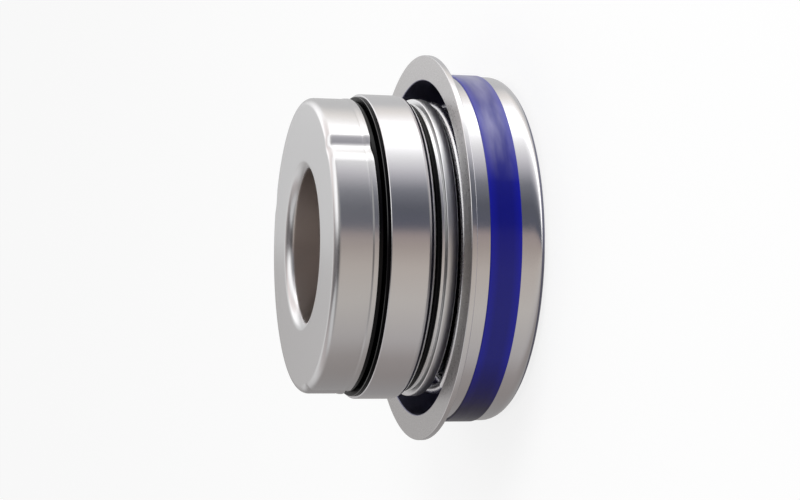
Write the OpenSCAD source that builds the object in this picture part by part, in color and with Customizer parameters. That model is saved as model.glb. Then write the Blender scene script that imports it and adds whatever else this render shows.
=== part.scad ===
// Double mechanical seal for a pump shaft, a flanged press-in cartridge.
// Origin: middle of the housing's back end. +Z runs along the shaft to the seat cup.
// Drawn cups are swept from one sheet profile; every seat height is stacked from the floor up.

/* [Shaft sleeve and seat cup] */
// Shaft diameter that the sleeve is bored for
shaft_d = 16; // [15.6:0.1:16.4]
// Sheet thickness of the drawn sleeve and cup
sleeve_wall = 0.5; // [0.4:0.05:0.55]
// Outside radius of the rolled lip between bore and face
bore_lip_r = 1; // [0.8:0.1:1.2]
// Outside diameter of the seat cup
cup_d = 30.8; // [30.4:0.1:31.2]
// Length of the seat cup's outer wall, from face to rim
cup_h = 4.5; // [4.1:0.1:4.8]
// Outside radius of the corner between face and wall
cup_corner_r = 0.8; // [0.6:0.1:1]
// Length of the raised band at the cup's rim
rim_band_h = 0.55; // [0.3:0.05:0.8]
// How far the rim band stands proud of the wall
rim_band_t = 0.06; // [0.03:0.01:0.1]
// Diameter of the flared end that holds the sleeve in the cartridge
flare_d = 19.4; // [19.2:0.1:20]

/* [Drive flutes] */
// Number of flutes pressed into the cup's wall
flute_n = 3; // [2:1:4]
// Width of a flute at the wall's surface
flute_w = 2.8; // [2.4:0.1:3.2]
// Depth of a flute
flute_depth = 0.5; // [0.45:0.05:0.6]
// Rubber between a flute and the front seat ring
flute_rubber_t = 0.85; // [0.8:0.05:0.9]
// Direction of the first flute
flute_angle = -48; // [-60:1:-30]

/* [Front face pair] */
// Length of the front seat ring
seat_ring_h = 3.4; // [3:0.1:3.8]
// Rubber between the front seat ring and the cup's wall
boot_wall = 1.1; // [1:0.05:1.2]
// Rubber behind the front seat ring
boot_back_h = 1.2; // [0.9:0.1:1.5]
// How far the boot's lip lies in from the cup's wall
boot_lip_in = 0.15; // [0.05:0.05:0.3]
// Inner diameter of the raised running face
nose_id = 20.8; // [20.4:0.1:21.4]
// Outer diameter of the raised running face
nose_od = 25.2; // [24.6:0.1:25.8]
// Height of the raised running face over its flange
nose_h = 0.12; // [0.1:0.01:0.2]
// Thickness of the face ring's flange
face_flange_h = 0.34; // [0.28:0.02:0.5]
// How far the face ring's flange lies in from the shell's wall
face_flange_in = 0.26; // [0.16:0.02:0.36]
// Radial clearance between the sleeve and the front rings
sleeve_gap = 1.4; // [1.2:0.1:1.5]

/* [Face ring shell] */
// How far the shell stands out over the cup's wall
shell_step = 0.56; // [0.5:0.02:0.7]
// Length of the shell
shell_h = 4.84; // [4.4:0.02:5.2]
// Sheet thickness of the shell
shell_wall = 0.5; // [0.4:0.05:0.55]
// Outside radius of the shell's back corner
shell_corner_r = 0.9; // [0.7:0.1:1.1]
// Width of the shell's back, from its wall to the hole
shell_back_w = 2.96; // [2.8:0.04:3.04]
// Chamfer on the edges of the shell and of the face ring
edge_chamfer = 0.12; // [0.06:0.02:0.16]

/* [Bellows] */
// Wall of rubber round the face ring
head_wall = 1.16; // [1:0.04:1.3]
// Rubber between the face ring and the shell's back
head_back_h = 0.45; // [0.3:0.05:0.6]
// How far the bead behind the shell lies in from the shell's wall
bead_in = 0.76; // [0.6:0.02:0.9]
// Length of the bead behind the shell
bead_h = 0.55; // [0.5:0.05:0.7]
// Wall of the neck through the shell
neck_wall = 0.7; // [0.5:0.05:0.8]
// Wall of the tail on the housing's collar
tail_wall = 0.9; // [0.7:0.05:1]
// How far the fold bulges between tail and neck
fold_bulge = 0.45; // [0.3:0.05:0.5]
// Thickness of the band round the tail
tail_band_t = 0.3; // [0.2:0.05:0.4]
// Length of the band round the tail
tail_band_h = 2.5; // [2:0.1:3]
// Height of the band over the tail's end
tail_band_up = 1; // [0.6:0.1:1.4]

/* [Main spring and its retainer] */
// Wire diameter
wire_d = 1.1; // [1:0.05:1.15]
// How far the spring's wire lies in from the retainer's edge, at its middle
spring_in = 0.75; // [0.7:0.05:0.8]
// Height from the housing's floor to the spring's seat on the retainer
spring_h = 7.8; // [7.4:0.1:8.2]
// Number of turns
spring_turns = 3.6; // [3.4:0.1:3.8]
// Direction of the cut end at the retainer
spring_tip_angle = -152.5; // [-165:0.5:-145]
// How far the cut end springs outwards
tip_flare = 0.85; // [0.8:0.05:0.9]
// How far the cut end hangs off the retainer
tip_dip = 0.45; // [0.3:0.05:0.45]
// Height of the retainer ring
retainer_h = 1.65; // [1.5:0.05:1.8]
// Rounding of the rim's back edge, on the spring's side
retainer_back_r = 0.4; // [0.3:0.05:0.4]
// Rounding of the rim's front edge, on the bead's side
retainer_front_r = 0.5; // [0.45:0.05:0.6]
// How far the retainer's edge lies in from the shell's wall
retainer_in = 0.31; // [0.25:0.02:0.41]
// Plate thickness of the retainer
retainer_plate_t = 0.4; // [0.35:0.05:0.45]

/* [Housing] */
// Outside diameter of the housing's wall, the press fit
housing_d = 36.5; // [36.3:0.1:36.9]
// Sheet thickness of the housing
housing_wall = 0.6; // [0.5:0.02:0.64]
// Height of the housing with its flange
housing_h = 8.6; // [8.4:0.05:8.8]
// Diameter of the flange
flange_d = 40.6; // [40:0.1:41.4]
// Inside radius of the bend under the flange
flange_bend_r = 0.15; // [0.1:0.05:0.3]
// Outside radius of the back corner
back_corner_r = 1.7; // [1.4:0.1:1.9]
// Inner diameter of the collar that is turned up from the floor
collar_d = 23.6; // [23.4:0.1:23.7]
// Height of the collar
collar_h = 6.4; // [6.2:0.1:6.8]
// Inside radius of the bend at the collar's foot
collar_bend_r = 0.5; // [0.3:0.1:0.6]
// Thickness of the sealant coat
sealant_t = 0.13; // [0.08:0.01:0.2]
// Length of the sealant coat along the wall
sealant_h = 3.24; // [3:0.04:3.6]
// Height of the sealant coat's lower edge
sealant_z = 2.83; // [2.6:0.05:3.1]

/* [Rear face pair] */
// Height of the rear retainer over the housing's back end
rear_recess = 2.2; // [2.1:0.05:2.4]
// Thickness of the rear retainer
rear_retainer_h = 0.6; // [0.5:0.05:0.7]
// Radial clearance of the rear retainer round the sleeve
rear_clear = 0.5; // [0.45:0.05:0.6]
// Number of tabs on the rear retainer
tab_n = 3; // [2:1:4]
// Width of a tab
tab_w = 2.2; // [1.8:0.1:2.6]
// Thickness of a tab
tab_t = 0.35; // [0.3:0.05:0.4]
// Length of a tab over the washer
tab_h = 2.5; // [2.4:0.1:2.6]
// Free height of the wave spring
wave_h = 1.7; // [1.6:0.05:1.8]
// Strip thickness of the wave spring
wave_t = 0.25; // [0.2:0.05:0.3]
// Number of waves
wave_n = 3; // [3:1:4]
// Thickness of the thrust washer
thrust_h = 0.3; // [0.25:0.05:0.4]
// Length of the rear face ring
rear_face_h = 2.4; // [2.3:0.1:2.6]
// Running clearance of the rear face ring in the collar
rear_face_clear = 0.2; // [0.15:0.05:0.3]
// Section diameter of the rear face ring's O-ring
face_oring_cs = 0.84; // [0.8:0.02:0.9]
// Length of the rear seat ring
rear_seat_h = 2; // [1.8:0.1:2.2]
// How far the rear seat ring stands out over the drive collar
rear_seat_step = 0.3; // [0.2:0.05:0.4]
// Section diameter of the rear seat ring's O-ring
seat_oring_cs = 0.7; // [0.64:0.02:0.76]
// Length of the drive collar
drive_collar_h = 1.5; // [1.4:0.1:1.6]
// Wall of the drive collar, over the sleeve
drive_collar_wall = 2.4; // [2.2:0.05:2.5]
// Diameter of a drive pin
pin_d = 0.8; // [0.7:0.05:0.9]
// Length of a drive pin
pin_h = 1.8; // [1.6:0.1:1.9]

/* [Fits] */
// How far the faces can be pushed back against the springs
seal_travel = 1.2; // [0.9:0.1:1.2]
// Play between parts that turn or slide past each other
running_gap = 0.1; // [0.06:0.01:0.12]
// Play at the ends of the springs
spring_gap = 0.05; // [0.03:0.01:0.08]

/* [Hidden] */
$fn = 96;
eps = 0.01;
sleeve_ri = shaft_d / 2;
sleeve_ro = sleeve_ri + sleeve_wall;
cup_ri = cup_d / 2 - sleeve_wall;
boot_lip_r = cup_d / 2 - boot_lip_in;
shell_r = cup_d / 2 + shell_step;
retainer_r = shell_r - retainer_in;
spring_r = retainer_r - spring_in;
seat_ring_ro = cup_ri - boot_wall;
housing_ri = housing_d / 2 - housing_wall;
collar_ri = collar_d / 2;
collar_ro = collar_ri + housing_wall;
shell_ri = shell_r - shell_wall;
face_body_r = shell_ri - head_wall;
neck_ro = shell_r - shell_back_w;
neck_ri = neck_ro - neck_wall;
tail_ro = collar_ro + tail_wall;
front_ri = sleeve_ro + sleeve_gap;

// Heights from the housing's floor to the seat cup's face
retainer_z = housing_wall + spring_h;
bead_z = retainer_z + retainer_h;
shell_z = bead_z + bead_h;
head_z = shell_z + shell_wall;
face_body_z = head_z + head_back_h;
flange_z = shell_z + shell_h;
nose_z = flange_z + face_flange_h;
face_z = nose_z + nose_h;
seat_back_z = face_z + seat_ring_h;
plate_z = seat_back_z + boot_back_h;
top_z = plate_z + sleeve_wall;
rim_z = top_z - cup_h;

// Heights of the rear pair, from the retainer to the drive collar
wave_z = rear_recess + rear_retainer_h;
thrust_z = wave_z + wave_h;
rear_face_z = thrust_z + thrust_h;
rear_joint_z = rear_face_z + rear_face_h;
rear_seat_top = rear_joint_z + rear_seat_h;
flare_z = rear_recess - running_gap - sleeve_wall;
flare_bend_r = 0.2;

// Rear pair, radii
tab_ri = sleeve_ro + rear_clear;
tab_ro = tab_ri + tab_t;
wave_ri = tab_ro + 3 * running_gap;
wave_ro = collar_ri - rear_clear;
rear_face_ri = tab_ri + running_gap;
rear_face_ro = collar_ri - rear_face_clear;
rear_seat_ri = sleeve_ro + running_gap;
drive_collar_ro = sleeve_ro + drive_collar_wall;
rear_seat_ro = drive_collar_ro + rear_seat_step;
pin_r = sleeve_ro + drive_collar_wall / 2 + pin_d / 4;
pin_sink = pin_h / 2;

// Flutes are round-bottomed, so a circle of this radius lies in each
flute_r = (flute_w * flute_w / 4 + flute_depth * flute_depth) / (2 * flute_depth);
flute_centre = cup_d / 2 - flute_depth + flute_r;
flute_wall_r = flute_r + sleeve_wall;
flute_rubber_r = flute_wall_r + flute_rubber_t;

// The spring's end turns close up, and the turns between share what drop is left
spring_drop = spring_h - wire_d - 2 * spring_gap;
close_drop = spring_drop / (2 * (spring_turns - 1));
spring_top_z = retainer_z - spring_gap - wire_d / 2;
flare_turns = 0.15;
dip_turns = 0.4;
wire_sides = 12;
rings_per_turn = 48;
wave_steps = 90;

// Flat ring between two radii, standing on z
module ring(ri, ro, z, h) {
    translate([0, 0, z]) difference() {
        cylinder(r = ro, h = h);
        translate([0, 0, -eps]) cylinder(r = ri, h = h + 2 * eps);
    }
}

// Straight stretch of a profile, from one corner to the other
module bar(r0, z0, r1, z1) {
    translate([r0, z0]) square([r1 - r0, z1 - z0]);
}

// Quarter bend of sheet between two radii; sr and sz say which way the quarter faces
module bend(r, z, r_in, r_out, sr, sz) {
    translate([r, z]) intersection() {
        difference() {
            circle(r = r_out);
            if (r_in > 0) circle(r = r_in);
        }
        translate([sr < 0 ? -r_out : 0, sz < 0 ? -r_out : 0]) square(r_out);
    }
}

// What a rounded corner leaves over: a square with the quarter disc taken out
module corner_cut(r, z, radius, sr, sz) {
    translate([r, z]) difference() {
        translate([sr < 0 ? -2 * radius : 0, sz < 0 ? -2 * radius : 0]) square(2 * radius);
        circle(r = radius);
    }
}

module housing() {
    r = housing_d / 2;
    mouth_z = housing_h - housing_wall - flange_bend_r;
    color("silver") rotate_extrude() {
        bar(collar_ro + collar_bend_r, 0, r - back_corner_r, housing_wall);
        bend(r - back_corner_r, back_corner_r, back_corner_r - housing_wall, back_corner_r, 1, -1);
        bar(housing_ri, back_corner_r, r, mouth_z);
        bend(r + flange_bend_r, mouth_z, flange_bend_r, flange_bend_r + housing_wall, -1, 1);
        bar(r + flange_bend_r, housing_h - housing_wall, flange_d / 2, housing_h);
        bend(collar_ro + collar_bend_r, housing_wall + collar_bend_r, collar_bend_r,
            collar_bend_r + housing_wall, -1, -1);
        bar(collar_ri, housing_wall + collar_bend_r, collar_ro, collar_h);
    }
}

module sealant_band() {
    r = housing_d / 2;
    soft = sealant_t * 0.75;
    color("navy") rotate_extrude() difference() {
        bar(r, sealant_z, r + sealant_t, sealant_z + sealant_h);
        corner_cut(r + sealant_t - soft, sealant_z + soft, soft, 1, -1);
        corner_cut(r + sealant_t - soft, sealant_z + sealant_h - soft, soft, 1, 1);
    }
}

// Fold between the tail and the neck: a smooth bulge on a wall that narrows to the neck
fold_steps = 16;
function fold_share(i) = i / fold_steps;
function fold_inner(t) = collar_ro + (neck_ri - collar_ro) * t + fold_bulge * pow(sin(180 * t), 2);
function fold_outer(t) = tail_ro + (neck_ro - tail_ro) * t + fold_bulge * pow(sin(180 * t), 2);
tail_z = housing_wall + collar_bend_r + running_gap;
function fold_z(i) = collar_h + (bead_z - collar_h) * fold_share(i);
bellows_outline = concat(
    [[collar_ro, tail_z]],
    [for (i = [0:fold_steps]) [fold_inner(fold_share(i)), fold_z(i)]],
    [[neck_ri, face_body_z], [face_body_r, face_body_z], [face_body_r, flange_z],
        [shell_ri, flange_z], [shell_ri, head_z], [neck_ro, head_z], [neck_ro, shell_z],
        [shell_r - bead_in, shell_z], [shell_r - bead_in, bead_z]],
    [for (i = [fold_steps:-1:0]) [fold_outer(fold_share(i)), fold_z(i)]],
    [[tail_ro, tail_z]]);

module bellows() {
    soft = shell_corner_r - shell_wall;
    bead_r = shell_r - bead_in;
    bead_soft = 0.2;
    groove_r = 0.07;
    color([0.07, 0.07, 0.08]) rotate_extrude() difference() {
        polygon(bellows_outline);
        corner_cut(shell_ri - soft, head_z + soft, soft, 1, -1);
        corner_cut(bead_r - bead_soft, bead_z + bead_soft, bead_soft, 1, -1);
        corner_cut(bead_r - bead_soft, shell_z - bead_soft, bead_soft, 1, 1);
        translate([bead_r, bead_z + bead_h / 2]) circle(r = groove_r);
    }
}

module tail_band() {
    color("silver") ring(tail_ro, tail_ro + tail_band_t, tail_z + tail_band_up, tail_band_h);
}

// Height lost along the spring after some turns: closed ends, even pitch between them
function drop_at(t) = t < 1 ? close_drop * t * t + (t < dip_turns ? tip_dip * pow(1 - t / dip_turns, 2) : 0)
    : t > spring_turns - 1 ? spring_drop - close_drop * pow(spring_turns - t, 2)
    : close_drop + 2 * close_drop * (t - 1);
function tip_spread(t) = t < flare_turns ? tip_flare * pow(1 - t / flare_turns, 2) : 0;
function wire_point(t, a) =
    let (rr = spring_r + tip_spread(t) + wire_d / 2 * cos(a), q = spring_tip_angle + 360 * t)
    [rr * cos(q), rr * sin(q), spring_top_z - drop_at(t) + wire_d / 2 * sin(a)];

// Round wire swept along the coil, which runs down and counter-clockwise from its cut end
module main_spring() {
    n = round(spring_turns * rings_per_turn);
    m = wire_sides;
    points = [for (i = [0:n], j = [0:m - 1]) wire_point(spring_turns * i / n, 360 * (j + 0.5) / m)];
    sides = [for (i = [0:n - 1], j = [0:m - 1])
        [i * m + j, (i + 1) * m + j, (i + 1) * m + (j + 1) % m, i * m + (j + 1) % m]];
    tip = [for (j = [0:m - 1]) j];
    tail = [for (j = [m - 1:-1:0]) n * m + j];
    color("silver") polyhedron(points, concat([tip], sides, [tail]), convexity = 10);
}

// Plate that the spring pushes on, with a rim that stands up to the bead
module spring_retainer() {
    plate_ri = spring_r - wire_d / 2 - 0.35;
    plate_ro = spring_r + 0.15;
    rim_ri = plate_ri + 0.6;
    rim_low = retainer_z + retainer_plate_t / 4;
    front_ro = retainer_r - retainer_front_r;
    back_ro = retainer_r - retainer_back_r;
    front_z = bead_z - retainer_front_r;
    color("gainsboro") rotate_extrude() {
        bar(rim_ri, rim_low, front_ro, bead_z);
        bar(front_ro, rim_low, back_ro, front_z);
        bar(back_ro, rim_low + retainer_back_r, retainer_r, front_z);
        bend(back_ro, rim_low + retainer_back_r, 0, retainer_back_r, 1, -1);
        bend(front_ro, front_z, 0, retainer_front_r, 1, 1);
        bar(plate_ri, retainer_z, plate_ro, retainer_z + retainer_plate_t);
    }
}

module face_shell() {
    r = shell_r;
    color("silver") rotate_extrude() difference() {
        union() {
            bar(neck_ro, shell_z, r - shell_corner_r, shell_z + shell_wall);
            bend(r - shell_corner_r, shell_z + shell_corner_r, shell_corner_r - shell_wall,
                shell_corner_r, 1, -1);
            bar(shell_ri, shell_z + shell_corner_r, r, flange_z);
        }
        translate([r, flange_z]) rotate(45) square(edge_chamfer * sqrt(2), center = true);
    }
}

module front_face_ring() {
    r = shell_r - face_flange_in;
    color([0.1, 0.1, 0.11]) rotate_extrude() difference() {
        union() {
            bar(front_ri, face_body_z, face_body_r, flange_z);
            bar(front_ri, flange_z, r, nose_z);
            bar(nose_id / 2, nose_z, nose_od / 2, face_z);
        }
        translate([r, nose_z]) rotate(45) square(edge_chamfer * sqrt(2), center = true);
    }
}

// Round bars at the flutes, as high as the cup, with the radius given
module flutes(radius, z, h) {
    for (i = [0:flute_n - 1])
        rotate(flute_angle + 360 * i / flute_n)
            translate([flute_centre, 0, z]) cylinder(r = radius, h = h);
}

module front_seat_ring() {
    color([0.16, 0.16, 0.17]) difference() {
        ring(front_ri - 0.5, seat_ring_ro, face_z, seat_ring_h);
        flutes(flute_rubber_r, face_z - eps, seat_ring_h + 2 * eps);
    }
}

module seat_boot() {
    ri = sleeve_ri + bore_lip_r + 0.3;
    lip_z = face_z + running_gap;
    soft = cup_corner_r - sleeve_wall;
    lip_soft = 0.15;
    color([0.05, 0.05, 0.06]) difference() {
        union() {
            rotate_extrude() difference() {
                union() {
                    bar(ri, seat_back_z, cup_ri, plate_z);
                    bar(seat_ring_ro, lip_z, cup_ri, seat_back_z);
                    bar(seat_ring_ro, lip_z, boot_lip_r, rim_z);
                }
                corner_cut(cup_ri - soft, plate_z - soft, soft, 1, 1);
                corner_cut(boot_lip_r - lip_soft, lip_z + lip_soft, lip_soft, 1, -1);
            }
            intersection() {
                ring(front_ri, cup_ri, lip_z, seat_back_z - lip_z);
                flutes(flute_rubber_r, lip_z, seat_back_z - lip_z);
            }
        }
        flutes(flute_wall_r, rim_z - eps, cup_h);
    }
}

// Outline of the sleeve with the cup filled in: flared end, tube, rolled lip, face and corner
module sleeve_outline() {
    t = sleeve_wall;
    r = cup_d / 2;
    bar(sleeve_ro + flare_bend_r, flare_z, flare_d / 2, flare_z + t);
    bend(sleeve_ro + flare_bend_r, flare_z + t + flare_bend_r, flare_bend_r, flare_bend_r + t, -1, -1);
    bar(sleeve_ri, flare_z + t + flare_bend_r, sleeve_ro, top_z - bore_lip_r);
    difference() {
        bar(sleeve_ri, rim_z, r, top_z);
        corner_cut(sleeve_ri + bore_lip_r, top_z - bore_lip_r, bore_lip_r, -1, 1);
        corner_cut(r - cup_corner_r, top_z - cup_corner_r, cup_corner_r, 1, 1);
    }
    bar(sleeve_ro, rim_z, r + rim_band_t, rim_z + rim_band_h);
}

// Room inside the cup, which the sheet's inner side bounds
module cup_room() {
    lip = bore_lip_r - sleeve_wall;
    soft = cup_corner_r - sleeve_wall;
    difference() {
        bar(sleeve_ro, rim_z - 1, cup_ri, plate_z);
        corner_cut(sleeve_ro + lip, plate_z - lip, lip, -1, 1);
        corner_cut(cup_ri - soft, plate_z - soft, soft, 1, 1);
    }
}

module seat_sleeve() {
    color("silver") difference() {
        rotate_extrude() sleeve_outline();
        flutes(flute_r, rim_z - eps, cup_h + 2 * eps);
        difference() {
            rotate_extrude() cup_room();
            flutes(flute_wall_r, rim_z - 1 - eps, cup_h + 2);
        }
    }
}

// Washer with tabs turned up round its bore
module rear_retainer() {
    color("silver") union() {
        ring(tab_ri, collar_ri, rear_recess, rear_retainer_h);
        intersection() {
            ring(tab_ri, tab_ro, rear_recess, rear_retainer_h + tab_h);
            for (i = [0:tab_n - 1])
                rotate(360 * i / tab_n)
                    translate([0, -tab_w / 2, rear_recess]) cube([collar_ri, tab_w, rear_retainer_h + tab_h]);
        }
    }
}

// Flat strip ring whose height waves between the washer below and the one above
function wave_low(q) = wave_z + spring_gap
    + (wave_h - wave_t - 2 * spring_gap) * (1 + sin(wave_n * q)) / 2;
module wave_spring() {
    n = wave_steps;
    points = [for (i = [0:n - 1], k = [0:3])
        let (q = 360 * i / n, r = (k == 0 || k == 3) ? wave_ri : wave_ro)
        [r * cos(q), r * sin(q), wave_low(q) + (k > 1 ? wave_t : 0)]];
    faces = [for (i = [0:n - 1], k = [0:3])
        [i * 4 + k, i * 4 + (k + 1) % 4, ((i + 1) % n) * 4 + (k + 1) % 4, ((i + 1) % n) * 4 + k]];
    color("lightsteelblue") polyhedron(points, faces, convexity = 8);
}

module thrust_washer() {
    color("silver") ring(wave_ri, rear_face_ro - running_gap, thrust_z, thrust_h);
}

module rear_face_ring() {
    groove_r = face_oring_cs / 2;
    slot_w = tab_w + 2 * running_gap;
    slot_top = wave_z + tab_h + seal_travel + running_gap;
    color([0.1, 0.1, 0.11]) difference() {
        rotate_extrude() difference() {
            bar(rear_face_ri, rear_face_z, rear_face_ro, rear_joint_z);
            translate([oring_centre(), rear_oring_z()]) circle(r = groove_r);
            bar(oring_centre(), rear_oring_z() - groove_r, collar_ri, rear_oring_z() + groove_r);
        }
        for (i = [0:tab_n - 1])
            rotate(360 * i / tab_n) intersection() {
                translate([0, -slot_w / 2, rear_face_z - eps])
                    cube([collar_ri, slot_w, slot_top - rear_face_z]);
                translate([0, 0, rear_face_z - eps]) cylinder(r = tab_ro + running_gap, h = rear_face_h);
            }
    }
}

function oring_centre() = collar_ri - running_gap / 3 - face_oring_cs / 2;
function rear_oring_z() = rear_face_z + rear_face_h / 2;

module rear_face_oring() {
    color([0.06, 0.06, 0.07]) rotate_extrude()
        translate([oring_centre(), rear_oring_z()]) circle(r = face_oring_cs / 2);
}

module rear_seat_ring() {
    rr = seat_oring_cs / 2;
    z = rear_joint_z + rear_seat_h * 0.45;
    color([0.85, 0.84, 0.8]) difference() {
        rotate_extrude() difference() {
            bar(rear_seat_ri, rear_joint_z, rear_seat_ro, rear_seat_top);
            translate([sleeve_ro + rr, z]) circle(r = rr);
            bar(sleeve_ro, z - rr, sleeve_ro + rr, z + rr);
        }
        drive_holes(pin_d / 2 + running_gap, rear_seat_top - pin_sink - running_gap, pin_sink * 2);
    }
}

module rear_seat_oring() {
    rr = seat_oring_cs / 2;
    color([0.06, 0.06, 0.07]) rotate_extrude()
        translate([sleeve_ro + rr, rear_joint_z + rear_seat_h * 0.45]) circle(r = rr);
}

// Two round bars opposite each other, for the drive pins and their holes
module drive_holes(radius, z, h) {
    for (q = [0, 180]) rotate(q) translate([pin_r, 0, z]) cylinder(r = radius, h = h, $fn = 32);
}

module drive_collar() {
    color("gainsboro") difference() {
        ring(sleeve_ro, drive_collar_ro, rear_seat_top, drive_collar_h);
        drive_holes(pin_d / 2, rear_seat_top - eps, pin_h - pin_sink + eps);
    }
}

module drive_pins() {
    color("dimgray") drive_holes(pin_d / 2, rear_seat_top - pin_sink, pin_h);
}

housing();
sealant_band();
bellows();
tail_band();
main_spring();
spring_retainer();
face_shell();
front_face_ring();
front_seat_ring();
seat_boot();
seat_sleeve();
rear_retainer();
wave_spring();
thrust_washer();
rear_face_ring();
rear_face_oring();
rear_seat_ring();
rear_seat_oring();
drive_collar();
drive_pins();
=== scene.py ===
"""Looks of a double mechanical seal for a pump shaft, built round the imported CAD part.

Metres, same frame as the CAD: origin in the middle of the housing's back end, +Z along the shaft.
"""
import bpy
import bmesh
from math import atan2, cos, degrees, hypot, pi, radians, sin
from mathutils import Matrix, Vector


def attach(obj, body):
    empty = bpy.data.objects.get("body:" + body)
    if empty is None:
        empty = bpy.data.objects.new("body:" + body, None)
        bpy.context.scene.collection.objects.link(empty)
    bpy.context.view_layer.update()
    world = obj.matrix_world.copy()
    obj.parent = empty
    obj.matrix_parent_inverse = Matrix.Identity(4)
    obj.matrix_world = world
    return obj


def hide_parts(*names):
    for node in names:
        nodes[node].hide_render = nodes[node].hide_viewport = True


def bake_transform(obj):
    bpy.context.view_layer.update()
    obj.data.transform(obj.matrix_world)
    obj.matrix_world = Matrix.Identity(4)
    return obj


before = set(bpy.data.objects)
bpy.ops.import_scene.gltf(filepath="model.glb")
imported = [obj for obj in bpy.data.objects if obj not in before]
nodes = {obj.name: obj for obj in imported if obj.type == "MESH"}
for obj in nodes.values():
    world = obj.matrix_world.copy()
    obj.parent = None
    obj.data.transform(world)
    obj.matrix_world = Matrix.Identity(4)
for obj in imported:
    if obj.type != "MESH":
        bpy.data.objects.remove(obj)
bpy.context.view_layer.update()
scene = bpy.context.scene

# Housing. A deep-drawn cup of stainless sheet, tumbled bright after drawing. It has a flat
# floor, a collar turned up round the shaft hole and a flange that stops on the pump body.

# Sizes are in mm, and MM turns them to Blender's metres
MM = 0.001


def node(tree, kind, values={}, links={}, **settings):
    """Adds a node with its settings, its socket values and the sockets that feed it."""
    made = tree.nodes.new(kind)
    for name, value in settings.items():
        setattr(made, name, value)
    for name, value in values.items():
        made.inputs[name].default_value = value
    for name, source in links.items():
        tree.links.new(source, made.inputs[name])
    return made


def srgb(text):
    """Linear colour with alpha from an sRGB hex value, by the standard sRGB curve."""
    parts = [int(text[i:i + 2], 16) / 255 for i in (1, 3, 5)]
    return [c / 12.92 if c <= 0.04045 else ((c + 0.055) / 1.055) ** 2.4 for c in parts] + [1.0]


def empty_material(name):
    """A new material and its node tree, with no nodes in it yet."""
    material = bpy.data.materials.new(name)
    material.use_nodes = True
    material.node_tree.nodes.clear()
    return material, material.node_tree


def drawn_steel(name, colour, rough_low, rough_high, line_mm, speck_mm, depth_mm, bare=1.0):
    """Steel marked in rings by a die or lathe, with specks; bare is below 1 where it is hazy.

    Roughness runs from rough_low to rough_high with the specks. The real marks are finer than
    line_mm and are drawn as coarse as they need to show.
    """
    material, tree = empty_material(name)
    place = node(tree, "ShaderNodeTexCoord").outputs["Object"]
    parts = node(tree, "ShaderNodeSeparateXYZ", links={0: place}).outputs
    flat = node(tree, "ShaderNodeVectorMath", {1: (1, 1, 0)}, {0: place}, operation="MULTIPLY")
    radius = node(tree, "ShaderNodeVectorMath", {}, {0: flat.outputs[0]}, operation="LENGTH")
    turn = node(tree, "ShaderNodeMath", {}, {0: parts["Y"], 1: parts["X"]}, operation="ARCTAN2")
    ring = node(tree, "ShaderNodeCombineXYZ",
                links={"X": turn.outputs[0], "Y": radius.outputs["Value"], "Z": parts["Z"]})
    lines_per_m, breaks_per_radian = 1 / (line_mm * MM), 5.0
    stretched = node(tree, "ShaderNodeVectorMath",
                     {1: (breaks_per_radian, lines_per_m, lines_per_m)},
                     {0: ring.outputs[0]}, operation="MULTIPLY")
    lines = node(tree, "ShaderNodeTexNoise", {"Scale": 1.0, "Detail": 2.0, "Roughness": 0.6},
                 {"Vector": stretched.outputs[0]})
    specks = node(tree, "ShaderNodeTexNoise",
                  {"Scale": 1 / (speck_mm * MM), "Detail": 3.0, "Roughness": 0.65},
                  {"Vector": place})
    both = node(tree, "ShaderNodeMath", {}, {0: lines.outputs[0], 1: specks.outputs[0]},
                operation="ADD")
    bump = node(tree, "ShaderNodeBump", {"Strength": 1.0, "Distance": depth_mm * MM},
                {"Height": both.outputs[0]})
    rough = node(tree, "ShaderNodeMapRange",
                 {"From Min": 0.35, "From Max": 0.65, "To Min": rough_low, "To Max": rough_high},
                 {"Value": specks.outputs[0]})
    shader = node(tree, "ShaderNodeBsdfPrincipled", {"Base Color": srgb(colour), "Metallic": bare},
                  {"Roughness": rough.outputs[0], "Normal": bump.outputs[0]})
    node(tree, "ShaderNodeOutputMaterial", links={"Surface": shader.outputs[0]})
    return material


def section(bm, corners):
    """Closed outline in the XZ plane from corners in mm, each with its own rounding radius."""
    verts = [bm.verts.new((r * MM, 0, z * MM)) for r, z, _ in corners]
    for a, b in zip(verts, verts[1:] + verts[:1]):
        bm.edges.new((a, b))
    for vert, (_, _, radius) in zip(verts, corners):
        if radius:
            # A large rounding shows its facets sooner, so it gets more of them
            facets = 9 if radius > 0.4 else 4
            bmesh.ops.bevel(bm, geom=[vert], offset=radius * MM, offset_type="OFFSET",
                            segments=facets, profile=0.5, affect="VERTICES", material=-1)


def turn_round(bm, steps):
    """Spins the outline a full turn about the shaft axis."""
    bmesh.ops.spin(bm, geom=bm.verts[:] + bm.edges[:], cent=(0, 0, 0), axis=(0, 0, 1),
                   dvec=(0, 0, 0), angle=2 * pi, steps=steps, use_merge=True,
                   use_normal_flip=False, use_duplicate=False)
    bmesh.ops.remove_doubles(bm, verts=bm.verts, dist=1e-8)


def mesh_object(bm, name, material):
    """Puts the mesh in the scene as an object of that material."""
    mesh = bpy.data.meshes.new(name)
    bm.to_mesh(mesh)
    bm.free()
    mesh.materials.append(material)
    made = bpy.data.objects.new(name, mesh)
    scene.collection.objects.link(made)
    return made


def piece(bm, name, material):
    """Makes the mesh an object with outward faces, smooth but for its sharp edges."""
    sharp = radians(40)
    bmesh.ops.recalc_face_normals(bm, faces=bm.faces)
    for face in bm.faces:
        face.smooth = True
    for edge in bm.edges:
        edge.smooth = edge.calc_face_angle(0) < sharp
    made = mesh_object(bm, name, material)
    weights = made.modifiers.new("flat faces stay flat", "WEIGHTED_NORMAL")
    weights.keep_sharp = True
    return made


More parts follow.
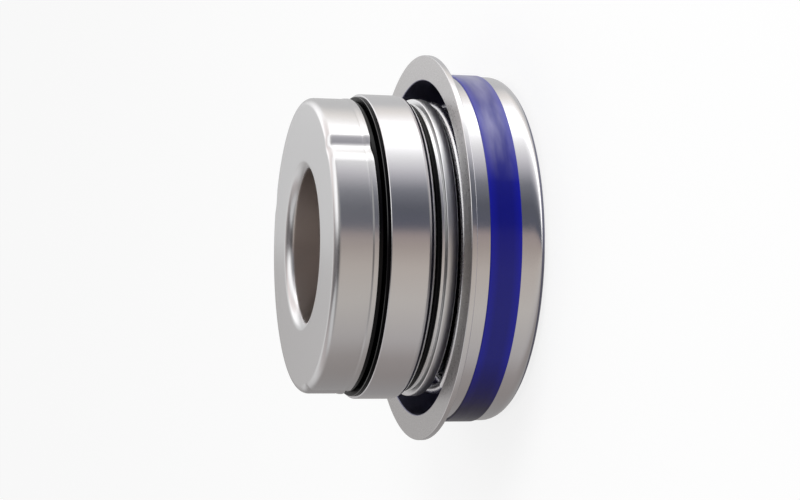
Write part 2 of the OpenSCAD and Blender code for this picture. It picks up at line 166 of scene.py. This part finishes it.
# Tumbled stainless: bright, with soft specks and faint draw lines
tumbled_steel = drawn_steel("Tumbled drawn stainless steel", "#dedddf",
                            rough_low=0.1, rough_high=0.17, line_mm=0.22,
                            speck_mm=0.3, depth_mm=0.0015)
sheet = 0.6
collar_r, wall_r, flange_r = 11.8, 18.25, 20.3
collar_z, flange_z = 6.4, 8.0
bm = bmesh.new()
section(bm, [(collar_r, collar_z, 0.12), (collar_r, 0, 1.1), (wall_r, 0, 1.7),
             (wall_r, flange_z, 0.15), (flange_r, flange_z, 0.12),
             (flange_r, flange_z + sheet, 0.09), (wall_r - sheet, flange_z + sheet, 0.1),
             (wall_r - sheet, sheet, 1.1), (collar_r + sheet, sheet, 0.5),
             (collar_r + sheet, collar_z, 0.12)])
turn_round(bm, 360)
housing = piece(bm, "Housing", tumbled_steel)
# The flange's front face is as the press left it, duller than the tumbled wall
dull_steel = drawn_steel("Pressed flange face", "#c6c4c4", rough_low=0.26, rough_high=0.36,
                         line_mm=0.3, speck_mm=0.25, depth_mm=0.003)
housing.data.materials.append(dull_steel)
# Inside, the steel is painted darker: painted shade for the housing's shadowed inside
shaded_inside_steel = drawn_steel("Steel inside with painted shade", "#74748c", rough_low=0.3, rough_high=0.42,
                          line_mm=0.3, speck_mm=0.25, depth_mm=0.003)
housing.data.materials.append(shaded_inside_steel)
dull_from_r = 17.9
shaded_inside_r, shaded_inside_z = (12.3, 17.8), (0.3, 8.599)
for face in housing.data.polygons:
    reach, height = hypot(*face.center.xy) / MM, face.center.z / MM
    if face.normal.z > 0.9 and reach > dull_from_r:
        face.material_index = 1
    elif shaded_inside_r[0] < reach < shaded_inside_r[1] and shaded_inside_z[0] < height < shaded_inside_z[1]:
        face.material_index = 2
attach(housing, "housing")
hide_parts("housing")

# Sealant coat. Blue sealant is brushed on the housing's wall and left to cure. It is squeezed
# into the bore's scratches when the housing is pressed in.

# Cured sealant: a deep blue film with a semi-gloss skin. Where it thins out, towards the edges of
# the band, the bright steel under it makes it a lighter blue.
band_low, band_high, proud_r = 2.83, 6.07, 18.38
cured_sealant, tree = empty_material("Cured blue sealant")
place = node(tree, "ShaderNodeTexCoord").outputs["Object"]
parts = node(tree, "ShaderNodeSeparateXYZ", links={0: place}).outputs
middle = (band_low + band_high) / 2 * MM
offset = node(tree, "ShaderNodeMath", {1: middle}, {0: parts["Z"]}, operation="SUBTRACT")
offset = node(tree, "ShaderNodeMath", {}, {0: offset.outputs[0]}, operation="ABSOLUTE")
# The brush leaves ripples about 11 mm long round the wall and 2.3 mm wide
brushed = node(tree, "ShaderNodeVectorMath", {1: (0.3, 0.3, 1.4)}, {0: place},
               operation="MULTIPLY")
ripple = node(tree, "ShaderNodeTexNoise", {"Scale": 1 / (3.2 * MM), "Detail": 3.0},
              {"Vector": brushed.outputs[0]})
thin = node(tree, "ShaderNodeMapRange", {"From Min": 0.7 * MM, "From Max": 1.6 * MM},
            {"Value": offset.outputs[0]})
film = node(tree, "ShaderNodeMix", {6: srgb("#060b84"), 7: srgb("#0810a8")},
            {"Factor": thin.outputs[0]}, data_type="RGBA")
# Towards +X, the top, the film is painted lavender: a painted highlight, in brushed streaks and
# most along the band's middle
painted_highlight = node(tree, "ShaderNodeMapRange", {"From Min": 6.5 * MM, "From Max": 10 * MM},
            {"Value": parts["X"]})
streaks = node(tree, "ShaderNodeMapRange",
               {"From Min": 0.36, "From Max": 0.62, "To Min": 0.1, "To Max": 0.75},
               {"Value": ripple.outputs[0]})
inner = node(tree, "ShaderNodeMapRange",
             {"From Min": 0.7 * MM, "From Max": 1.5 * MM, "To Min": 1.0, "To Max": 0.4},
             {"Value": offset.outputs[0]})
for share in (streaks, inner):
    painted_highlight = node(tree, "ShaderNodeMath", {}, {0: painted_highlight.outputs[0], 1: share.outputs[0]},
                operation="MULTIPLY")
film = node(tree, "ShaderNodeMix", {7: srgb("#9a98c4")},
            {"Factor": painted_highlight.outputs[0], 6: film.outputs[2]}, data_type="RGBA")
# Towards -X, the bottom, the film is painted dark purple and given less coat: painted shade
out_of_shade = node(tree, "ShaderNodeMapRange", {"From Min": -16.5 * MM, "From Max": -11 * MM},
             {"Value": parts["X"]})
film = node(tree, "ShaderNodeMix", {6: srgb("#170d3c")},
            {"Factor": out_of_shade.outputs[0], 7: film.outputs[2]}, data_type="RGBA")
gloss = node(tree, "ShaderNodeMapRange", {"To Min": 0.08, "To Max": 0.5},
             {"Value": out_of_shade.outputs[0]})
bump = node(tree, "ShaderNodeBump", {"Strength": 1.0, "Distance": 0.12 * MM},
            {"Height": ripple.outputs[0]})
shader = node(tree, "ShaderNodeBsdfPrincipled",
              {"Metallic": 0.06, "Roughness": 0.28, "Specular IOR Level": 0.2,
               "Coat Roughness": 0.15},
              {"Base Color": film.outputs[2], "Coat Weight": gloss.outputs[0],
               "Normal": bump.outputs[0], "Coat Normal": bump.outputs[0]})
node(tree, "ShaderNodeOutputMaterial", links={"Surface": shader.outputs[0]})
bm = bmesh.new()
root_r = wall_r - 0.05  # a little inside the wall, so that no gap shows under the coat
section(bm, [(root_r, band_low, 0), (proud_r, band_low, 0.1), (proud_r, band_high, 0.1),
             (root_r, band_high, 0)])
turn_round(bm, 360)
sealant_band = piece(bm, "Sealant_band", cured_sealant)
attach(sealant_band, "housing")
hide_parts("sealant_band")

# Bellows. One moulding of black nitrile rubber: a tail on the collar, a shallow fold, a neck,
# a bead behind the shell and a head that holds the face ring.


def plain(name, colour, rough, grain_mm, depth_mm, specular=0.5):
    """A non-metal of one colour with a fine uneven surface."""
    material, tree = empty_material(name)
    place = node(tree, "ShaderNodeTexCoord").outputs["Object"]
    grain = node(tree, "ShaderNodeTexNoise", {"Scale": 1 / (grain_mm * MM), "Detail": 3.0},
                 {"Vector": place})
    bump = node(tree, "ShaderNodeBump", {"Strength": 1.0, "Distance": depth_mm * MM},
                {"Height": grain.outputs[0]})
    roughness = node(tree, "ShaderNodeMapRange",
                     {"From Min": 0.3, "From Max": 0.7,
                      "To Min": rough * 0.8, "To Max": rough * 1.2},
                     {"Value": grain.outputs[0]})
    shader = node(tree, "ShaderNodeBsdfPrincipled",
                  {"Base Color": srgb(colour), "Specular IOR Level": specular},
                  {"Roughness": roughness.outputs[0], "Normal": bump.outputs[0]})
    node(tree, "ShaderNodeOutputMaterial", links={"Surface": shader.outputs[0]})
    return material


# Moulded nitrile: black and dull, with only a slight shine from a polished mould
moulded_nitrile = plain("Moulded nitrile rubber", "#050507", rough=0.24,
                        grain_mm=0.25, depth_mm=0.002, specular=0.15)
tail_z, fold_low, fold_high, fold_bulge = 1.2, collar_z, 10.05, 0.45
fold_steps = 16
# The wall swells out half way up the fold, and grows a little thinner towards the neck
fold = [(i / fold_steps, fold_low + (fold_high - fold_low) * i / fold_steps)
        for i in range(fold_steps + 1)]
inside = [(12.4 - 0.1 * t + fold_bulge * sin(pi * t) ** 2, z, 0) for t, z in fold]
outside = [(13.3 - 0.3 * t + fold_bulge * sin(pi * t) ** 2, z, 0) for t, z in fold]
head = [(12.3, 11.55, 0), (14.3, 11.55, 0), (14.3, 15.44, 0), (15.46, 15.44, 0), (15.46, 11.1, 0.4)]
neck_and_bead = [(13.0, 11.1, 0), (13.0, 10.6, 0), (15.2, 10.6, 0.2), (15.2, 10.35, 0.03),
                 (15.12, 10.325, 0.02), (15.2, 10.3, 0.03), (15.2, fold_high, 0.2)]
bm = bmesh.new()
section(bm, [(12.4, tail_z, 0)] + inside + head + neck_and_bead + outside[::-1]
        + [(13.3, tail_z, 0.2)])
turn_round(bm, 240)
bellows = piece(bm, "Bellows", moulded_nitrile)
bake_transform(bellows)
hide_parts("bellows")

# Tail band. A plain ring pressed from steel strip, squeezed on the bellows' tail, so that the
# tail grips the housing's collar.

# Plain pressed steel: grey and semi-dull, with faint marks from the press
pressed_steel = drawn_steel("Plain pressed steel", "#c4c2c3", rough_low=0.24, rough_high=0.36,
                            line_mm=0.2, speck_mm=0.25, depth_mm=0.003)
nodes["tail_band"].data.materials.clear()
nodes["tail_band"].data.materials.append(pressed_steel)

# Main spring. Bright drawn stainless wire coiled left-hand. Its end turns close up, and its cut
# end springs outwards and hangs a little off the retainer.

# Drawn wire: bright, with marks of the die along it
bright_wire = drawn_steel("Bright drawn spring wire", "#e2e1e3", rough_low=0.22, rough_high=0.32,
                          line_mm=0.2, speck_mm=0.2, depth_mm=0.0008)
turns, wire_r, coil_r = 3.6, 0.55, 14.9
# Height of the wire's middle at the cut end, and how far the coil falls from there to its other end
top_z, drop = 7.8, 6.6
# The cut end springs this far outwards and hangs this much lower, over so many turns
flare, flare_turns = 0.85, 0.15
dip, dip_turns = 0.45, 0.4
# The first and the last turn close up: over each, the coil falls half as far as over the others
close_drop = drop / (2 * (turns - 1))
tip_angle = radians(-152.5)
wire_steps = 360
bm = bmesh.new()
bmesh.ops.create_cone(bm, cap_ends=True, cap_tris=False, segments=28, radius1=wire_r,
                      radius2=wire_r, depth=1, matrix=Matrix.Translation((0, 0, 0.5)))
along = [e for e in bm.edges if abs(e.verts[0].co.z - e.verts[1].co.z) > 0.5]
bmesh.ops.subdivide_edges(bm, edges=along, cuts=wire_steps - 1, use_grid_fill=True)
# The straight wire is one unit long here, and its length becomes the turns of the coil
for vert in bm.verts:
    outward, upward, wound = vert.co.x, vert.co.y, vert.co.z * turns
    if wound < 1:
        fall = close_drop * wound * wound
    elif wound > turns - 1:
        fall = drop - close_drop * (turns - wound) ** 2
    else:
        fall = close_drop + 2 * close_drop * (wound - 1)
    fall += dip * (1 - wound / dip_turns) ** 2 if wound < dip_turns else 0
    spread = flare * (1 - wound / flare_turns) ** 2 if wound < flare_turns else 0
    r = coil_r + spread + outward
    a = tip_angle + 2 * pi * wound
    vert.co = (r * cos(a) * MM, r * sin(a) * MM, (top_z - fall + upward) * MM)
main_spring = piece(bm, "Main_spring", bright_wire)
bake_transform(main_spring)
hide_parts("main_spring")

# Spring retainer. A turned steel ring: the spring pushes on its plate, and its stepped rim
# stands up to the bellows' bead.

# Turned steel: pale and silky, with the tool's marks too fine to see one by one
turned_steel = drawn_steel("Finely turned steel", "#f0f0f1", rough_low=0.28, rough_high=0.34,
                           line_mm=0.15, speck_mm=0.2, depth_mm=0.0004)
bm = bmesh.new()
section(bm, [(14.0, 8.4, 0.08), (15.05, 8.4, 0.08), (15.05, 8.5, 0), (15.65, 8.5, 0.32),
             (15.65, 9.66, 0.1), (15.0, 9.7, 0.1), (15.0, 10.05, 0.05), (14.6, 10.05, 0.05),
             (14.6, 8.8, 0.1), (14.0, 8.8, 0.08)])
turn_round(bm, 720)
spring_retainer = piece(bm, "Spring_retainer", turned_steel)
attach(spring_retainer, "face_carrier")
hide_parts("spring_retainer")

# Face ring shell. A shallow cup drawn from stainless sheet, which clamps the rubber head on
# the face ring. Its front edge is trimmed with a small chamfer.

# Bright drawn stainless: finer marks than on the tumbled housing, and a slightly softer shine
bright_steel = drawn_steel("Bright drawn stainless steel", "#dedddf",
                           rough_low=0.15, rough_high=0.2, line_mm=0.22,
                           speck_mm=0.2, depth_mm=0.0007)
shell_hole_r, shell_in_r, shell_out_r = 13.0, 15.46, 15.96
shell_back_z, shell_floor_z, shell_front_z = 10.6, 11.1, 15.44
bm = bmesh.new()
section(bm, [(shell_hole_r, shell_back_z, 0.05), (shell_out_r, shell_back_z, 1.15),
             (shell_out_r, shell_front_z, 0.12), (shell_in_r, shell_front_z, 0.04),
             (shell_in_r, shell_floor_z, 0.4), (shell_hole_r, shell_floor_z, 0.05)])
turn_round(bm, 360)
face_shell = piece(bm, "Face_shell", bright_steel)
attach(face_shell, "face_carrier")
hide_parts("face_shell")

# Front face ring. Carbon graphite, moulded and turned, with a lapped running face and a thin
# flange over the shell's front edge.

# Carbon graphite: nearly black, and it gives back very little light
carbon_graphite = plain("Lapped carbon graphite", "#050507", rough=0.3,
                        grain_mm=0.12, depth_mm=0.001, specular=0.05)
bm = bmesh.new()
section(bm, [(9.9, 11.55, 0.05), (14.3, 11.55, 0), (14.3, 15.44, 0), (15.7, 15.44, 0.04),
             (15.7, 15.78, 0.1), (12.6, 15.78, 0), (12.6, 15.9, 0.03), (10.4, 15.9, 0.03),
             (10.4, 15.78, 0), (9.9, 15.78, 0.06)])
turn_round(bm, 360)
front_face_ring = piece(bm, "Front_face_ring", carbon_graphite)
# Lapping leaves the flange's front edge burnished
burnished_edge = plain("Burnished carbon edge", "#0a0a0c", rough=0.1,
                       grain_mm=0.12, depth_mm=0.0002, specular=1.0)
front_face_ring.data.materials.append(burnished_edge)
for face in front_face_ring.data.polygons:
    slopes_forward = 0.2 < face.normal.z < 0.97
    if slopes_forward and hypot(*face.center.xy) > 15.5 * MM:
        face.material_index = 1
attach(front_face_ring, "face_carrier")
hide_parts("front_face_ring")

# Front seat ring and its boot. The ring is silicon carbide, sintered and lapped. The boot is
# nitrile and holds it in the cup, and its lip shows between the cup's rim and the face ring.

# Silicon carbide: dark grey, with a soft shine from lapping
sintered_carbide = plain("Lapped silicon carbide", "#2a2b2e", rough=0.22,
                         grain_mm=0.1, depth_mm=0.001)
for name, material, slot in (("front_seat_ring", sintered_carbide, "carbide"),
                             ("seat_boot", moulded_nitrile, "black_rubber")):
    nodes[name].data.materials.clear()
    nodes[name].data.materials.append(material)

# Sleeve and seat cup. One drawing of stainless sheet: a tube that presses on the shaft, a rolled
# lip, a flat face and a wall with three flutes that keep the seat from turning.

# Satin: many hands and a light blast have left the cup hazier than the shell
satin_steel = drawn_steel("Satin drawn stainless steel", "#dad9da", rough_low=0.17, rough_high=0.24,
                          line_mm=0.22, speck_mm=0.16, depth_mm=0.0013, bare=0.93)
bore_r, cup_r, cup_sheet = 8.0, 15.4, 0.5
foot_r, foot_z, rim_z, face_z = 9.7, 1.6, 16.5, 21.0
# Places along the wall and depths of a flute, from its gentle side to its steeper side
flute = [(-2.4, 0), (-1.9, 0.04), (-1.4, 0.15), (-0.9, 0.29), (-0.5, 0.38), (-0.2, 0.4),
         (0.05, 0.36), (0.9, 0.04), (1.1, 0)]
first_flute, flute_spacing = -48, 120
drawn_in_from_r = 12.5
bm = bmesh.new()
section(bm, [(foot_r, foot_z, 0.08), (bore_r, foot_z, 0.7), (bore_r, face_z, 1.0),
             (cup_r, face_z, 0.8), (cup_r, 17.35, 0.08), (15.365, 17.2, 0.06),
             (15.46, 16.98, 0.06), (15.46, rim_z, 0.12), (cup_r - cup_sheet, rim_z, 0.1),
             (cup_r - cup_sheet, face_z - cup_sheet, 0.3),
             (bore_r + cup_sheet, face_z - cup_sheet, 0.5),
             (bore_r + cup_sheet, foot_z + cup_sheet, 0.2), (foot_r, foot_z + cup_sheet, 0.08)])
turn_round(bm, 720)
# Draws the wall in at each flute, and the face's outer part a little with it
for vert in bm.verts:
    x, y = vert.co.x / MM, vert.co.y / MM
    r, a = hypot(x, y), atan2(y, x)
    if r < drawn_in_from_r:
        continue
    half = flute_spacing / 2
    turned = (degrees(a) - first_flute + half) % flute_spacing - half
    along = turned / 360 * 2 * pi * cup_r
    depth = 0
    for (s0, d0), (s1, d1) in zip(flute, flute[1:]):
        if s0 <= along < s1:
            depth = d0 + (d1 - d0) * (along - s0) / (s1 - s0)
    share = (cup_r - depth - drawn_in_from_r) / (cup_r - drawn_in_from_r)
    moved = drawn_in_from_r + (r - drawn_in_from_r) * share
    vert.co.x, vert.co.y = vert.co.x * moved / r, vert.co.y * moved / r
seat_sleeve = piece(bm, "Seat_sleeve", satin_steel)
# The bore is sized over a mandrel after drawing and is rougher; its darker, browner colour is
# painted shade for the deep bore
shaded_bore_steel = drawn_steel("Bore with painted shade", "#ccc4c0", rough_low=0.3, rough_high=0.38,
                         line_mm=0.5, speck_mm=0.4, depth_mm=0.0012)
seat_sleeve.data.materials.append(shaded_bore_steel)
for face in seat_sleeve.data.polygons:
    if hypot(*face.center.xy) < (bore_r + 0.02) * MM:
        face.material_index = 1
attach(seat_sleeve, "rotor")
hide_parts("seat_sleeve")

# Rear seal, inside the housing's collar. A steel retainer, a wave spring and a washer push a
# carbon ring against a ceramic seat, which a collar with two pins drives from the sleeve.

wave_in_r, wave_out_r = 9.65, 11.3
wave_low, wave_high = 2.85, 3.1
waves, wave_rise = 3, 1.35
bm = bmesh.new()
section(bm, [(wave_in_r, wave_low, 0), (wave_out_r, wave_low, 0), (wave_out_r, wave_high, 0),
             (wave_in_r, wave_high, 0)])
turn_round(bm, 180)
for vert in bm.verts:
    vert.co.z += wave_rise * (1 + sin(waves * atan2(vert.co.y, vert.co.x))) / 2 * MM
wave_spring = piece(bm, "Wave_spring", bright_wire)
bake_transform(wave_spring)
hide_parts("wave_spring")

# Alumina: an ivory-white ceramic with a soft shine from lapping
lapped_alumina = plain("Lapped alumina ceramic", "#dedbd0", rough=0.2,
                       grain_mm=0.1, depth_mm=0.001)
for name, material, slot in (("rear_retainer", pressed_steel, "plain_steel"),
                             ("thrust_washer", pressed_steel, "plain_steel"),
                             ("rear_face_ring", carbon_graphite, "carbon"),
                             ("rear_face_oring", moulded_nitrile, "black_rubber"),
                             ("rear_seat_ring", lapped_alumina, "ceramic"),
                             ("rear_seat_oring", moulded_nitrile, "black_rubber"),
                             ("drive_collar", pressed_steel, "plain_steel"),
                             ("drive_pins", pressed_steel, "plain_steel")):
    nodes[name].data.materials.clear()
    nodes[name].data.materials.append(material)

# Floor and light. A pale floor, plain white surroundings and one soft lamp above the seal. Studio
# cards, which only reflections see, give the bare metal its bright and dark bands.

# The floor shows white to the camera, keeps the seal's shadow, and lights the seal as a pale one
pale, tree = empty_material("Pale floor")
seen = node(tree, "ShaderNodeLightPath").outputs["Is Camera Ray"]
matt = node(tree, "ShaderNodeBsdfDiffuse", {"Color": srgb("#e4e4e4")})
shaded = node(tree, "ShaderNodeBsdfDiffuse", {"Color": srgb("#8c8c8c")})
glow = node(tree, "ShaderNodeEmission", {"Color": (1, 1, 1, 1), "Strength": 0.78})
white = node(tree, "ShaderNodeAddShader", links={0: shaded.outputs[0], 1: glow.outputs[0]})
both = node(tree, "ShaderNodeMixShader", links={0: seen, 1: matt.outputs[0], 2: white.outputs[0]})
node(tree, "ShaderNodeOutputMaterial", links={"Surface": both.outputs[0]})
bm = bmesh.new()
floor_reach = 3
bmesh.ops.create_grid(bm, x_segments=1, y_segments=1, size=floor_reach)
floor = mesh_object(bm, "Floor", pale)
floor.location.z = -0.02 * MM
floor.visible_glossy = False

# The cards are painted on a ball round the seal. Each has an angle in degrees, a level and a tint,
# and they run into each other. Low down, the angle is the turn round the shaft: 0 faces the
# camera and 90 is above the seal in the photo.
LOW_CARDS = [(-180, 0.45, "#f4f0ee"), (-140, 0.38, "#f2efee"), (-110, 0.32, "#fff6f2"),
             (-90, 0.36, "#fff6f2"), (-72, 0.5, "#fdf8f6"), (-40, 0.6, "#fff9f2"),
             (-14, 0.57, "#fff4ea"), (0, 0.45, "#fff0e6"), (9, 0.4, "#ffece8"),
             (14, 0.16, "#dfe4ff"), (28, 0.15, "#e6ebff"), (42, 0.26, "#eef1ff"),
             (58, 0.74, "#fcfaff"), (68, 1.0, "#ffffff"), (76, 1.3, "#ffffff"),
             (86, 2.2, "#ffffff"), (93, 2.4, "#ffffff"), (99, 1.8, "#ffffff"),
             (108, 1.25, "#fffdfb"), (118, 0.98, "#fffaf4"), (132, 0.64, "#ffffff"),
             (180, 0.6, "#ffffff")]
# Higher up, the angle is along the arc from the camera's side over the top (90) to the back (180)
HIGH_CARDS = [(0, 0.2, "#ffffff"), (42, 0.22, "#ffffff"), (60, 0.7, "#ffffff"),
              (80, 0.72, "#ffffff"), (95, 0.6, "#ffffff"), (108, 0.5, "#fff6f4"),
              (128, 0.58, "#fff8f6"), (142, 0.86, "#ffffff"), (180, 0.95, "#ffffff")]
# A dark flag hangs before the high cards, a little below the camera's line. It leaves level /
# CARD_POWER of them: a fifth in front, and all of them at the back.
FLAG = [(0, 0.5, "#fff4f8"), (96, 0.5, "#fff4f8"), (108, 1.1, "#ffffff"),
        (134, 2.4, "#ffffff"), (180, 2.4, "#ffffff")]
# Colours on a ramp end at 1, so the levels are divided by the brightest card's and the paint's
# glow makes up for it
CARD_POWER = 2.4
card_paint, tree = empty_material("Studio card paint")
place = node(tree, "ShaderNodeTexCoord").outputs["Object"]
parts = node(tree, "ShaderNodeSeparateXYZ", links={0: place}).outputs
toward = node(tree, "ShaderNodeMath", {1: -1.0}, {0: parts["Y"]}, operation="MULTIPLY").outputs[0]
glows = []
for upright, low, high, stops in ((parts["X"], -180, 180, LOW_CARDS),
                                 (parts["Z"], 0, 180, HIGH_CARDS),
                                 (parts["Z"], 0, 180, FLAG)):
    angle = node(tree, "ShaderNodeMath", {}, {0: upright, 1: toward}, operation="ARCTAN2")
    share = node(tree, "ShaderNodeMapRange", {"From Min": radians(low), "From Max": radians(high)},
                 {"Value": angle.outputs[0]})
    ramp = node(tree, "ShaderNodeValToRGB", links={0: share.outputs[0]})
    elements = ramp.color_ramp.elements
    for turn, _, _ in stops[1:-1]:
        elements.new((turn - low) / (high - low))
    for element, (turn, level, tint) in zip(elements, stops):
        element.color = [c * level / CARD_POWER for c in srgb(tint)[:3]] + [1.0]
    glows.append(ramp.outputs[0])
# The flag is 80 mm wide and fades out over 50 mm more on either side
flag_at_x = -45
apart = node(tree, "ShaderNodeMath", {1: -flag_at_x * MM}, {0: parts["X"]}, operation="ADD")
apart = node(tree, "ShaderNodeMath", {}, {0: apart.outputs[0]}, operation="ABSOLUTE")
beside = node(tree, "ShaderNodeMapRange", {"From Min": 40 * MM, "From Max": 90 * MM},
              {"Value": apart.outputs[0]}, interpolation_type="SMOOTHSTEP")
shade = node(tree, "ShaderNodeMix", {7: (1, 1, 1, 1)}, {"Factor": beside.outputs[0], 6: glows[2]},
             data_type="RGBA")
flagged = node(tree, "ShaderNodeVectorMath", {}, {0: glows[1], 1: shade.outputs[2]},
               operation="MULTIPLY")
# The high cards grow brighter towards +X, the top of the photo
over = node(tree, "ShaderNodeMapRange",
            {"From Min": 20 * MM, "From Max": 90 * MM, "To Min": 1.0, "To Max": 2.0},
            {"Value": parts["X"]}, interpolation_type="SMOOTHSTEP")
flagged = node(tree, "ShaderNodeVectorMath", {}, {0: flagged.outputs[0], "Scale": over.outputs[0]},
               operation="SCALE")
# From 30 mm up the low cards give way to the high ones, and from 200 mm up only those are left
lift = node(tree, "ShaderNodeMapRange", {"From Min": 30 * MM, "From Max": 200 * MM},
            {"Value": parts["Z"]}, interpolation_type="SMOOTHSTEP")
mixed = node(tree, "ShaderNodeMix", {},
             {"Factor": lift.outputs[0], 6: glows[0], 7: flagged.outputs[0]}, data_type="RGBA")
glow = node(tree, "ShaderNodeEmission", {"Strength": CARD_POWER}, {"Color": mixed.outputs[2]})
node(tree, "ShaderNodeOutputMaterial", links={"Surface": glow.outputs[0]})
bm = bmesh.new()
cards_r = 0.3
bmesh.ops.create_icosphere(bm, subdivisions=5, radius=cards_r)
cards = mesh_object(bm, "Studio_cards", card_paint)
cards.visible_camera = cards.visible_diffuse = cards.visible_shadow = False

# The camera and reflections see plain white, and the light that falls on the seal is weaker
world = bpy.data.worlds.new("World")
scene.world = world
world.use_nodes = True
tree = world.node_tree
tree.nodes.clear()
rays = node(tree, "ShaderNodeLightPath").outputs
shown = rays["Is Camera Ray"]
for ray in ("Is Glossy Ray", "Is Transmission Ray"):
    shown = node(tree, "ShaderNodeMath", {}, {0: shown, 1: rays[ray]},
                 operation="MAXIMUM").outputs[0]
level = node(tree, "ShaderNodeMapRange", {"To Min": 0.6, "To Max": 1.0}, {"Value": shown})
sky = node(tree, "ShaderNodeBackground", {"Color": (1, 1, 1, 1)}, {"Strength": level.outputs[0]})
node(tree, "ShaderNodeOutputWorld", links={"Surface": sky.outputs[0]})

lamp_data = bpy.data.lights.new("Soft_lamp", "AREA")
lamp_data.shape = "DISK"
lamp_data.size = 0.25
lamp_data.energy = 0.45
lamp = bpy.data.objects.new("Soft_lamp", lamp_data)
scene.collection.objects.link(lamp)
lamp_from = Vector((0.26, -0.16, 0.2))
lamp.location = lamp_from
lamp.rotation_mode = "QUATERNION"
lamp.rotation_quaternion = (-lamp_from).to_track_quat("-Z", "Y")
lamp.visible_glossy = False

# Camera. The seal lies on its side in the photo, so the camera is rolled a quarter turn: the
# shaft axis runs to the left of the picture, and +X is up.

camera_data = bpy.data.cameras.new("Camera")
camera_data.lens = 90
camera_data.sensor_width = 36
camera_data.clip_start, camera_data.clip_end = 0.01, 20
camera = bpy.data.objects.new("Camera", camera_data)
scene.collection.objects.link(camera)
# Its place and turn were fitted to the outlines of cup, shell, flange and housing in the photo
camera_at = Vector((-1.18, -204.30, 64.5)) * MM
to_right = Vector((0.01594, -0.25618, -0.96650)).normalized()
backward = Vector((-0.00423, -0.96663, 0.25614)).normalized()
to_top = backward.cross(to_right).normalized()
turned = Matrix((to_right, to_top, backward)).transposed().to_4x4()
camera.matrix_world = Matrix.Translation(camera_at) @ turned
scene.camera = camera

scene.view_settings.view_transform = "Standard"
